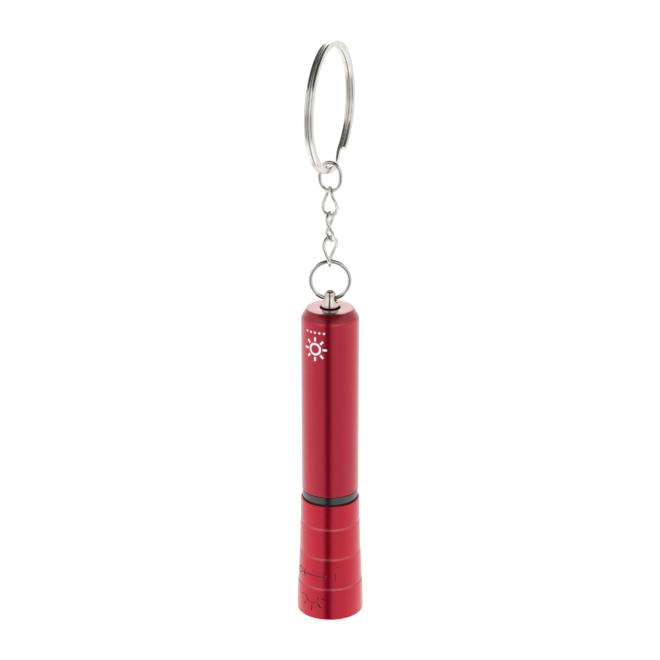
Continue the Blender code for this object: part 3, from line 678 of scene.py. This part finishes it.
def barrel():
    """A tube with a chamfered tail, a hole for the stud and a threaded mouth."""
    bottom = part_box("barrel")[0].z
    inside = TAIL - TAIL_WALL
    profile = [
        (BARREL_RADIUS, bottom),
        (BARREL_RADIUS, TAIL - TAIL_CHAMFER),
        (TAIL_FLAT_RADIUS, TAIL),
        (TAIL_HOLE_RADIUS, TAIL),
        (TAIL_HOLE_RADIUS, inside),
        (BARREL_BORE, inside),
        (BARREL_BORE, bottom + 6.0 * MM),
    ]
    for turn in reversed(range(BARREL_THREAD_TURNS)):  # shallow turned relief inside the mouth
        low = bottom + THREAD_START + THREAD_PITCH * turn
        profile += [
            (BARREL_BORE, low + 0.7 * MM),
            (BARREL_BORE + THREAD_DEPTH, low + 0.5 * MM),
            (BARREL_BORE + THREAD_DEPTH, low + 0.2 * MM),
            (BARREL_BORE, low),
        ]
    profile += [(BARREL_BORE, bottom + 0.3 * MM), (BARREL_BORE + 0.2 * MM, bottom)]
    rounds = {0: 0.1 * MM, 1: 1.5 * MM, 2: 0.12 * MM, 3: 0.12 * MM}  # mouth, chamfer's foot, tail, hole
    shape = turned(softened(profile, rounds))
    # The upper chamfer takes a darker copy of the barrel's lacquer: painted shade.
    chamfer_shade_index, tail_shade_index, bore_shade_index = 1, 2, 3
    for face in shape.faces:
        middle = face.calc_center_median()
        if middle.xy.length > TAIL_HOLE_RADIUS and middle.z > TAIL - CHAMFER_SHADE_SHARE * TAIL_CHAMFER:
            # The flat tail takes a darker copy of the barrel's lacquer: painted shade.
            face.material_index = tail_shade_index if face.normal.z > 0.9 else chamfer_shade_index
        # The wall of the hole takes the near-black finish: painted shade.
        elif middle.xy.length < TAIL_HOLE_RADIUS + TOLERANCE:
            face.material_index = bore_shade_index
    made = piece("barrel_shell", shape, BARREL_RED, "barrel", "red_shell", "barrel")
    for material in (CHAMFER_SHADE_RED, TAIL_SHADE_RED, PAINTED_SHADE_BORE):
        made.data.materials.append(material)


def on_barrel(turn_deg, z):
    """A place on the barrel's surface."""
    return direction(turn_deg) * BARREL_RADIUS + Vector((0, 0, z))


def printed_stroke(name, route, width, closed=False):
    """A stroke of ink on the barrel along (turn from +X in degrees, z) points."""
    foot, top = width / 2, width * 0.46
    outline = [(-INK_SUNK, -foot), (INK_THICKNESS, -top), (INK_THICKNESS, top), (-INK_SUNK, foot)]
    places = [on_barrel(turn, z) for turn, z in route]
    frames = []
    last = len(places) - 1
    for i, (turn, _) in enumerate(route):
        if closed:
            ahead, behind = places[(i + 1) % len(places)], places[i - 1]
        else:
            ahead, behind = places[min(i + 1, last)], places[max(i - 1, 0)]
        outward = direction(turn)
        tangent = (ahead - behind).normalized()
        frames.append((outward, tangent.cross(outward).normalized()))
    piece(name, swept(places, frames, outline, closed), PRINT, "barrel", "white_plastic")


def printed_mark():
    """A plain lamp mark: a circle with eight rays, under a row of five dots."""
    centre_turn, centre_z = -121.0, TAIL - 7.6 * MM
    turn_per_metre = math.degrees(1 / BARREL_RADIUS)

    def spot(across, up):
        return centre_turn + across * turn_per_metre, centre_z + up

    def circle(across, up, radius, points):
        angles = [2 * math.pi * k / points for k in range(points)]
        return [spot(across + radius * math.cos(a), up + radius * math.sin(a)) for a in angles]

    width = 0.48 * MM
    printed_stroke("print_circle", circle(0, 0, 1.2 * MM, 48), width, closed=True)
    rays, ray_reaches = 8, (1.78 * MM, 2.1 * MM, 2.4 * MM, 2.7 * MM)
    for ray in range(rays):
        angle = 2 * math.pi * ray / rays
        route = [spot(reach * math.cos(angle), reach * math.sin(angle)) for reach in ray_reaches]
        printed_stroke(f"print_ray_{ray + 1}", route, width)
    dots, dot_radius, dot_pitch, dot_row = 5, 0.14 * MM, 1.05 * MM, 3.75 * MM
    for dot in range(dots):
        route = circle((dot - dots // 2) * dot_pitch, dot_row, dot_radius, 16)
        printed_stroke(f"print_dot_{dot + 1}", route, dot_radius * 1.7, closed=True)


# ---------------------------------------------------------------- head


def head_radius(height):
    """The head's outer radius at a height over its rim."""
    edges = (0.0, *HEAD_GROOVES, HEAD_TOP)
    for (low, high), (start, end) in zip(zip(edges, edges[1:]), HEAD_RADII):
        if height <= high:
            return start + (end - start) * (height - low) / (high - low)
    return HEAD_RADII[-1][1]


def engraved_stroke(route):
    """A cutter for a line cut into the head along (turn, height) points."""
    places = []
    for turn, height in route:
        places.append(direction(turn) * (head_radius(height) + STROKE_LIFT) + Vector((0, 0, level(height))))
    frames = []
    last = len(places) - 1
    for i, (turn, _) in enumerate(route):
        outward = direction(turn)
        tangent = (places[min(i + 1, last)] - places[max(i - 1, 0)]).normalized()
        outward = (outward - tangent * outward.dot(tangent)).normalized()
        frames.append((outward, tangent.cross(outward)))
    return swept(places, frames, round_outline(STROKE_RADIUS, 8), closed=False)


def straight(start, end, points):
    """Points on the line between two (turn, height) places."""
    return [
        (start[0] + (end[0] - start[0]) * k / points, start[1] + (end[1] - start[1]) * k / points)
        for k in range(points + 1)
    ]


def arc(centre, radius, start_deg, end_deg, points=24):
    """Points round a centre on the head, as (turn, height)."""
    degrees_per_metre = math.degrees(1 / head_radius(centre[1]))
    angles = [math.radians(start_deg + (end_deg - start_deg) * k / points) for k in range(points + 1)]
    across = radius * degrees_per_metre
    return [(centre[0] + across * math.cos(a), centre[1] + radius * math.sin(a)) for a in angles]


def engraved_marks():
    """A turning mark, from a ring by a double arrow to a bar, and below it a half circle with five rays."""
    row, barb_reach, barb_rise = 10.5 * MM, 6.0, 0.80 * MM
    ring_turn, arrow_start, arrow_end, bar_turn = -158.0, -147.0, -97.0, -81.0
    routes = [
        arc((ring_turn, row), 0.75 * MM, 10, 350),
        straight((arrow_start, row), (arrow_end, row), 14),
    ]
    for tip, back in ((arrow_start, barb_reach), (arrow_end, -barb_reach)):
        for side in (-1, 1):
            routes.append(straight((tip, row), (tip + back, row + side * barb_rise), 5))
    routes.append(straight((bar_turn, row - barb_rise), (bar_turn, row + barb_rise), 5))
    lamp = (-124.0, 5.5 * MM)
    routes.append(arc(lamp, 1.7 * MM, 180, 360))
    rays, first_ray_deg, ray_step_deg, ray_reaches = 5, 188, 41, (2.25 * MM, 3.5 * MM)
    for ray in range(rays):
        ray_deg = first_ray_deg + ray_step_deg * ray
        near, far = (arc(lamp, reach, ray_deg, ray_deg, 1)[0] for reach in ray_reaches)
        routes.append(straight(near, far, 4))
    return routes


def head_outside():
    """The head's outer outline from the rim up, and how far its corners are rounded."""
    profile, rounds = [(HEAD_RADII[0][0], level(0))], {0: 0.35 * MM}
    for height, (_, below), (above, _) in zip(HEAD_GROOVES, HEAD_RADII, HEAD_RADII[1:]):
        floor_radius = above - GROOVE_DEPTH
        for radius, rise, soft in (
            (below, -GROOVE_RAMP, 0.12 * MM),
            (floor_radius, GROOVE_FLOOR[0], 0.03 * MM),
            (floor_radius, GROOVE_FLOOR[1], 0.03 * MM),
            (above, GROOVE_TOP, 0.04 * MM),
        ):
            rounds[len(profile)] = soft
            profile.append((radius, level(height + rise)))
    rounds[len(profile)] = 0.22 * MM
    profile.append((HEAD_RADII[-1][1], level(HEAD_TOP)))
    return profile, rounds


def head_shell():
    """Four flared bands parted by grooves, with engraved marks, and stepped bores inside."""
    profile, rounds = head_outside()
    clip_low, clip_high = CLIP_GROOVE
    for radius, height in (
        (SPIGOT_BORE, HEAD_TOP),
        (SPIGOT_BORE, clip_high),
        (SPIGOT_BORE + CLIP_GROOVE_DEPTH, clip_high),
        (SPIGOT_BORE + CLIP_GROOVE_DEPTH, clip_low),
        (SPIGOT_BORE, clip_low),
        (SPIGOT_BORE, OPTIC_BORE_TOP),
        (OPTIC_BORE, OPTIC_BORE_TOP),
        (OPTIC_BORE, LENS_BORE_TOP),
        (LENS_BORE, LENS_BORE_TOP),
        (LENS_BORE, MOUTH_BEVEL),
        (LENS_BORE + MOUTH_BEVEL, 0),
    ):
        profile.append((radius, level(height)))
    shape = turned(softened(profile, rounds))
    groove_highlight_index, engraved_shade_index = 1, 2
    for face in shape.faces:
        middle = face.calc_center_median()
        outside = middle.xy.length > OPTIC_BORE + 0.3 * MM
        rises = [middle.z - level(height) for height in HEAD_GROOVES]
        # The grooves' slopes and floors take the lighter lacquer: painted highlight.
        if outside and any(-GROOVE_RAMP < rise < GROOVE_TOP for rise in rises):
            face.material_index = groove_highlight_index
    made = piece("head_body", shape, HEAD_RED, "head", "red_shell", "head_shell")
    made.data.materials.append(GROOVE_HIGHLIGHT_RED)
    made.data.materials.append(ENGRAVED_SHADE_RED)
    # The cut faces take the darker lacquer: painted shade.
    cut(made, [engraved_stroke(route) for route in engraved_marks()], slot_index=engraved_shade_index)


def lens():
    """The window, with a faintly domed outer face, and the ring that holds it."""
    low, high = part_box("lens")
    outer, dome_steps = high.x, 12
    dome = []
    for k in range(dome_steps + 1):
        share = k / dome_steps
        dome.append((outer * LENS_DOME_SHARE * share, low.z + LENS_DOME * share * share))
    profile = dome + [(outer, low.z + LENS_EDGE), (outer, high.z), (0, high.z)]
    piece("lens_window", turned(profile, OPTIC_STEPS), CLEAR, "head", "clear_plastic", "lens")

    low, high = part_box("lens_ring")
    bevel_width, bevel_rise = LENS_RING_BEVEL
    profile = [
        (LENS_RING_BORE, low.z + bevel_rise),
        (LENS_RING_BORE + bevel_width, low.z),
        (high.x, low.z),
        (high.x, high.z),
        (LENS_RING_BORE, high.z),
    ]
    rounds = {0: 0.08 * MM, 1: 0.1 * MM, 2: 0.08 * MM}
    shape = turned(softened(profile, rounds), OPTIC_STEPS)
    piece("lens_retaining_ring", shape, BLACK, "head", "black_plastic", "lens_ring")


def reflector():
    """A parabolic bowl in a turned block."""
    low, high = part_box("reflector")
    profile = [(high.x, low.z), (high.x, high.z), (BOWL_THROAT, high.z)]
    floor_z, steps = high.z - BOWL_FLOOR, 40
    for k in range(steps + 1):
        radius = BOWL_THROAT + (BOWL_MOUTH - BOWL_THROAT) * k / steps
        share = (radius**2 - BOWL_THROAT**2) / (BOWL_MOUTH**2 - BOWL_THROAT**2)
        profile.append((radius, floor_z - (floor_z - low.z) * share))
    shape = turned(profile, OPTIC_STEPS)
    piece("reflector_bowl", shape, MIRROR, "head", "chromed_plastic", "reflector", sharp_deg=40)


def led():
    """A clear domed body over a metal cup with phosphor in it."""
    low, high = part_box("led")
    centre, dome_steps = low.z + LED_RADIUS, 16
    flange_low = high.z - LED_FLANGE
    profile = []
    for k in range(dome_steps + 1):
        angle = math.radians(90 * k / dome_steps)
        profile.append((LED_RADIUS * math.sin(angle), centre - LED_RADIUS * math.cos(angle)))
    profile += [(LED_RADIUS, flange_low), (high.x, flange_low), (high.x, high.z), (0, high.z)]
    piece("led_body", turned(profile, SMALL_STEPS), EPOXY, "head", "clear_plastic", "led")
    rim, base = low.z + CUP_RIM, low.z + CUP_BASE
    inner_floor, inner_rim, inner_foot = base - 0.2 * MM, 0.6 * MM, 0.4 * MM
    cup = [
        (0, base),
        (CUP_RADIUS, base),
        (CUP_RADIUS, rim),
        (inner_rim, rim),
        (inner_foot, inner_floor),
        (0, inner_floor),
    ]
    piece("led_cup", turned(cup, TINY_STEPS), CELL_STEEL, "head", "cell_steel")
    fill_top, fill_floor = rim + 0.05 * MM, inner_floor - 0.05 * MM
    fill = [(0, fill_top), (0.56 * MM, fill_top), (inner_foot, fill_floor), (0, fill_floor)]
    piece("led_phosphor", turned(fill, TINY_STEPS), PHOSPHOR, "head", "white_plastic")


def battery_carrier():
    """Collar, spigot, thread and tube, with the strip's slot."""
    low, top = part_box("battery_carrier")
    profile = [(PIN_BORE, low.z), (SPIGOT - SPIGOT_BEVEL, low.z), (SPIGOT, low.z + SPIGOT_BEVEL)]
    for middle, width, radius in SPIGOT_GROOVES:
        below, above = level(middle - width / 2), level(middle + width / 2)
        profile += [(SPIGOT, below), (radius, below), (radius, above), (SPIGOT, above)]
    collar_edge = len(profile) + 4
    rounds = {collar_edge: 0.12 * MM}
    profile += [
        (SPIGOT, level(LIP_BOTTOM)),
        (LIP, level(LIP_BOTTOM)),
        (LIP, level(COLLAR_BOTTOM)),
        (COLLAR, level(COLLAR_BOTTOM)),
        (COLLAR, level(COLLAR_TOP)),
        (TUBE, level(COLLAR_TOP)),
    ]
    crest = TUBE + THREAD_DEPTH
    for turn in range(CARRIER_THREAD_TURNS):
        base = level(COLLAR_TOP) + THREAD_START + THREAD_PITCH * turn
        for radius, rise in ((TUBE, 0.0), (crest, 0.25 * MM), (crest, 0.45 * MM), (TUBE, 0.7 * MM)):
            rounds[len(profile)] = 0.06 * MM
            profile.append((radius, base + rise))
    for rib in range(RIB_COUNT):  # shallow grooves that leave ribs along the tube
        base = level(RIB_START + RIB_PITCH * rib)
        profile += [
            (TUBE, base),
            (TUBE - RIB_DEPTH, base + RIB_DEPTH),
            (TUBE - RIB_DEPTH, base + RIB_WIDTH - RIB_DEPTH),
            (TUBE, base + RIB_WIDTH),
        ]
    profile += [
        (TUBE, top.z), (CELL_BORE, top.z), (CELL_BORE, level(CELL_FLOOR)), (PIN_BORE, level(CELL_FLOOR)),
    ]
    shape = turned(softened(profile, rounds), CARRIER_STEPS)
    # The step under the collar takes the matt black rubber: a painted shadow line.
    shadow_line_index = 1
    lip_low, lip_high = level(LIP_BOTTOM) - TOLERANCE, level(COLLAR_BOTTOM) + TOLERANCE
    for face in shape.faces:
        middle = face.calc_center_median()
        if lip_low < middle.z < lip_high and middle.xy.length > TUBE:
            face.material_index = shadow_line_index
    made = piece("carrier_body", shape, BLACK, "power_module", "black_plastic", "battery_carrier")
    made.data.materials.append(RUBBER_AND_SHADOW_LINE)
    strip_low, strip_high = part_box("return_strip")
    play, side_play = STRIP_PLAY
    side = strip_high.y + side_play
    corner = Vector((strip_low.x - play, -side, level(STRIP_SLOT_BOTTOM)))
    opposite = Vector((strip_low.x + STRIP_THICKNESS + play, side, top.z + 1 * MM))
    slot = bmesh.new()
    place = Matrix.Translation((opposite + corner) / 2) @ Matrix.Diagonal((*(opposite - corner), 1.0))
    bmesh.ops.create_cube(slot, size=1.0, matrix=place)
    cut(made, [slot])


def finish_hidden_nodes():
    """CAD nodes whose shape stays, with their better materials."""
    finishes = {
        "stud_washer": WHITE, "stud_retainer": BLACK, "carrier_cap": BLACK, "battery_spring": SPRING_STEEL,
        "positive_contact": BRASS, "contact_pin": BRASS, "cap_contact": BRASS, "switch_board": BOARD,
        "return_strip": BRASS, "head_o_ring": RUBBER_AND_SHADOW_LINE, "head_clip": SPRING_STEEL, "lens_gasket": RUBBER_AND_SHADOW_LINE,
        "led_lead_anode": CELL_STEEL, "led_lead_cathode": CELL_STEEL, "led_holder": WHITE, "led_board": BOARD,
        "resistor": BLACK, "wiper_contact": BRASS, "wiper_leaf_a": BRASS, "wiper_leaf_b": BRASS,
    }
    for number in range(1, 5):
        finishes[f"button_cell_{number}"] = CELL_STEEL
    for node, material in finishes.items():
        for place in NODES[node].material_slots:
            place.material = material


# ---------------------------------------------------------------- studio


def floor():
    """A pale floor that can be seen through from below."""
    made = bmesh.new()
    bmesh.ops.create_circle(made, cap_ends=True, segments=96, radius=FLOOR_RADIUS)
    mesh = bpy.data.meshes.new("floor")
    made.to_mesh(mesh)
    made.free()
    pale = Shader("pale_floor", (0.93, 0.93, 0.93), 0.0, 0.9)
    pale.set("Emission Color", (1.0, 1.0, 1.0, 1.0))
    pale.set("Emission Strength", FLOOR_GLOW)
    shown = pale.node("ShaderNodeBsdfTransparent")
    mix = pale.node("ShaderNodeMixShader")
    out = pale.tree.nodes["Material Output"]
    facing = pale.node("ShaderNodeNewGeometry")
    pale.link(facing.outputs["Backfacing"], mix.inputs["Fac"])
    pale.link(pale.bsdf.outputs["BSDF"], mix.inputs[1])
    pale.link(shown.outputs["BSDF"], mix.inputs[2])
    pale.link(mix.outputs["Shader"], out.inputs["Surface"])
    mesh.materials.append(pale.material)
    obj = bpy.data.objects.new("floor", mesh)
    bpy.context.scene.collection.objects.link(obj)
    obj.location = (0, 0, CAD_LOW.z - FLOOR_DROP)
    obj.visible_glossy = False  # reflections show the studio's walls instead


def studio_walls():
    """A white studio: dim in front, brighter behind, dark overhead, with a dark card beside the camera."""
    world = bpy.data.worlds.new("studio")
    bpy.context.scene.world = world
    world.use_nodes = True
    tree = world.node_tree
    tree.nodes.clear()

    def plug(value, socket):
        if isinstance(value, (int, float)):
            socket.default_value = value
        else:
            tree.links.new(value, socket)

    def maths(operation, *values):
        """A Math node's result."""
        made = tree.nodes.new("ShaderNodeMath")
        made.operation = operation
        for value, socket in zip(values, made.inputs):
            plug(value, socket)
        return made.outputs["Value"]

    def eased(value, start, end, low, high):
        """low up to start, high from end, and a smooth step between them."""
        made = tree.nodes.new("ShaderNodeMapRange")
        made.interpolation_type = "SMOOTHSTEP"
        sockets = {"Value": value, "From Min": start, "From Max": end, "To Min": low, "To Max": high}
        for socket, held in sockets.items():
            plug(held, made.inputs[socket])
        return made.outputs["Result"]

    def walls(turn_share, stops):
        """Radiance round the room. Ramp colours stay under 1, so they are scaled by the brightest stop."""
        brightest = max(radiance for _, radiance in stops)
        made = tree.nodes.new("ShaderNodeValToRGB")
        elements = made.color_ramp.elements
        elements.remove(elements[-1])
        for index, (degrees, radiance) in enumerate(stops):
            element = elements[0] if index == 0 else elements.new(degrees / 180)
            element.position = degrees / 180
            element.color = (radiance / brightest,) * 3 + (1.0,)
        plug(turn_share, made.inputs["Fac"])
        return maths("MULTIPLY", made.outputs["Color"], brightest)

    def blend(share, first, second):
        return maths("MULTIPLY_ADD", maths("SUBTRACT", second, first), share, first)

    def up(degrees):
        """The Z of a unit direction at this elevation."""
        return math.sin(math.radians(degrees))

    looks = tree.nodes.new("ShaderNodeTexCoord")
    parts = tree.nodes.new("ShaderNodeSeparateXYZ")
    tree.links.new(looks.outputs["Generated"], parts.inputs["Vector"])
    x, y, z = (parts.outputs[axis] for axis in "XYZ")
    turn = maths("ARCTAN2", x, maths("MULTIPLY", y, -1.0))
    turn_share = maths("ABSOLUTE", maths("DIVIDE", turn, math.pi))
    above = eased(z, up(WALLS_MEET_DEG[0]), up(WALLS_MEET_DEG[1]), 0.0, 1.0)
    wall = blend(above, walls(turn_share, LOW_WALLS), walls(turn_share, HIGH_WALLS))
    off_card = maths("ABSOLUTE", maths("SUBTRACT", turn, math.radians(CARD_DEG)))
    card = eased(off_card, math.radians(CARD_CORE_DEG), math.radians(CARD_EDGE_DEG), CARD_DARKEST, 1.0)
    ceiling = eased(z, up(CEILING_STARTS_DEG), up(CEILING_FULL_DEG), 1.0, CEILING_DARKEST)
    room = maths("MULTIPLY", maths("MULTIPLY", wall, card), ceiling)
    room = blend(eased(z, up(UNDERFOOT_DEG[0]), up(UNDERFOOT_DEG[1]), 1.0, 0.0), room, UNDERFOOT)

    path = tree.nodes.new("ShaderNodeLightPath")
    background = tree.nodes.new("ShaderNodeBackground")
    plug(blend(path.outputs["Is Camera Ray"], room, BACKDROP), background.inputs["Strength"])
    background.inputs["Color"].default_value = (1.0, 1.0, 1.0, 1.0)
    output = tree.nodes.new("ShaderNodeOutputWorld")
    tree.links.new(background.outputs["Background"], output.inputs["Surface"])


def front_light():
    """Lights matt surfaces from the front, as the studio's front lamps do."""
    data = bpy.data.lights.new("front_light", "SUN")
    data.energy = FRONT_LIGHT
    data.angle = math.radians(FRONT_LIGHT_SPREAD_DEG)
    made = bpy.data.objects.new("front_light", data)
    bpy.context.scene.collection.objects.link(made)
    made.rotation_euler = FRONT_LIGHT_FROM.to_track_quat("Z", "Y").to_euler()
    made.visible_glossy = False


def camera():
    """The photograph's view."""
    data = bpy.data.cameras.new("camera")
    data.lens = CAMERA_LENS
    data.sensor_width = 36.0
    data.clip_start, data.clip_end = 0.01, 50.0
    made = bpy.data.objects.new("camera", data)
    bpy.context.scene.collection.objects.link(made)
    made.location = CAMERA_PLACE
    made.rotation_euler = (math.radians(90 - CAMERA_PITCH_DEG), 0, 0)
    bpy.context.scene.camera = made


# ---------------------------------------------------------------- the scene

camera()
split_ring()
link("oval_link", "oval", OVAL_WIDTH, OVAL_WIRE, RING_TURN_DEG - 90, RING_TURN_DEG - 90, 1)
for link_number, top_turn in enumerate(TWISTED_TOP_DEG, 1):
    bottom_turn = top_turn + TWIST_DEG
    node, body = f"chain_link_{link_number}", f"link_{link_number}"
    link(node, body, TWISTED_WIDTH, TWISTED_WIRE, top_turn, bottom_turn, -1)
jump_ring()
swivel_stud()
barrel()
printed_mark()
head_shell()
lens()
reflector()
led()
battery_carrier()
finish_hidden_nodes()
floor()
studio_walls()
front_light()
bpy.context.scene.view_settings.view_transform = "Standard"
